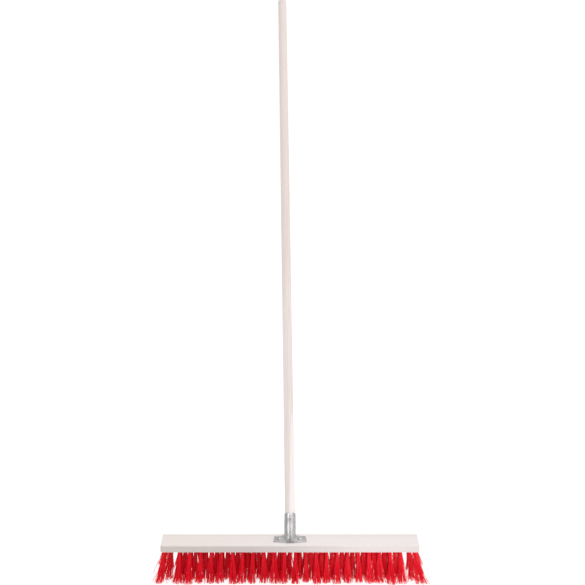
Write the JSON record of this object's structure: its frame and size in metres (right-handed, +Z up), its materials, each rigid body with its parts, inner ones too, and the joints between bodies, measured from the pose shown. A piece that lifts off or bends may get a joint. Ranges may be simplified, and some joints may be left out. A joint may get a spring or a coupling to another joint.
{
  "type": "push broom",
  "caption": "Push broom with a long wooden block, splayed rows of stiff red bristle tufts, a pressed steel handle socket and a round wooden handle leaning back.",
  "frame": {"origin": "on the floor, under the middle of the block, in the plane where the tufts end", "axes": "+X along the block; -Y the way the broom is pushed, so the handle leans back to +Y; +Z up, from the floor to the handle"},
  "size_m": [0.6246, 1.1584, 1.2702],
  "materials": {
    "block_wood": "planed and sanded, unvarnished, with faint straight grain",
    "handle_wood": "turned and sanded, unvarnished, with faint long grain",
    "socket_steel": "galvanized sheet, satin, with a soft zinc bloom",
    "screw_steel": "bright zinc plating",
    "bristle_plastic": "extruded filament, glossy along its length, slightly translucent",
    "wire_steel": "drawn flat wire"
  },
  "bodies": {
    "head": {"block": "block_wood", "handle_socket": "socket_steel", "handle": "handle_wood", "plate_screw_left": "screw_steel", "plate_screw_right": "screw_steel", "stick_screw": "screw_steel", "tuft_roots_row_1": "bristle_plastic", "tuft_roots_row_2": "bristle_plastic", "tuft_roots_row_3": "bristle_plastic", "tuft_roots_row_4": "bristle_plastic", "tuft_roots_row_5": "bristle_plastic", "anchor_wires_row_1": "wire_steel", "anchor_wires_row_2": "wire_steel", "anchor_wires_row_3": "wire_steel", "anchor_wires_row_4": "wire_steel", "anchor_wires_row_5": "wire_steel"},
    "bristles_1": {"bristle_row_1": "bristle_plastic"},
    "bristles_2": {"bristle_row_2": "bristle_plastic"},
    "bristles_3": {"bristle_row_3": "bristle_plastic"},
    "bristles_4": {"bristle_row_4": "bristle_plastic"},
    "bristles_5": {"bristle_row_5": "bristle_plastic"}
  },
  "joints": [
    {"name": "bristle_flex_1", "type": "hinge", "parent": "head", "child": "bristles_1", "pos_m": [0, -0.02315, 0.0657], "axis": [1, 0, 0], "range_deg": [-20, 20], "stiffness_Nm_per_rad": 1.5},
    {"name": "bristle_flex_2", "type": "hinge", "parent": "head", "child": "bristles_2", "pos_m": [0, -0.01157, 0.0657], "axis": [1, 0, 0], "range_deg": [-20, 20], "stiffness_Nm_per_rad": 1.5},
    {"name": "bristle_flex_3", "type": "hinge", "parent": "head", "child": "bristles_3", "pos_m": [0, 0, 0.0657], "axis": [1, 0, 0], "range_deg": [-20, 20], "stiffness_Nm_per_rad": 1.5},
    {"name": "bristle_flex_4", "type": "hinge", "parent": "head", "child": "bristles_4", "pos_m": [0, 0.01157, 0.0657], "axis": [1, 0, 0], "range_deg": [-20, 20], "stiffness_Nm_per_rad": 1.5},
    {"name": "bristle_flex_5", "type": "hinge", "parent": "head", "child": "bristles_5", "pos_m": [0, 0.02315, 0.0657], "axis": [1, 0, 0], "range_deg": [-20, 20], "stiffness_Nm_per_rad": 1.5}
  ],
  "couplings": [
    {"joint": "bristle_flex_1", "follows": "bristle_flex_3", "ratio": 1},
    {"joint": "bristle_flex_2", "follows": "bristle_flex_3", "ratio": 1},
    {"joint": "bristle_flex_4", "follows": "bristle_flex_3", "ratio": 1},
    {"joint": "bristle_flex_5", "follows": "bristle_flex_3", "ratio": 1}
  ]
}
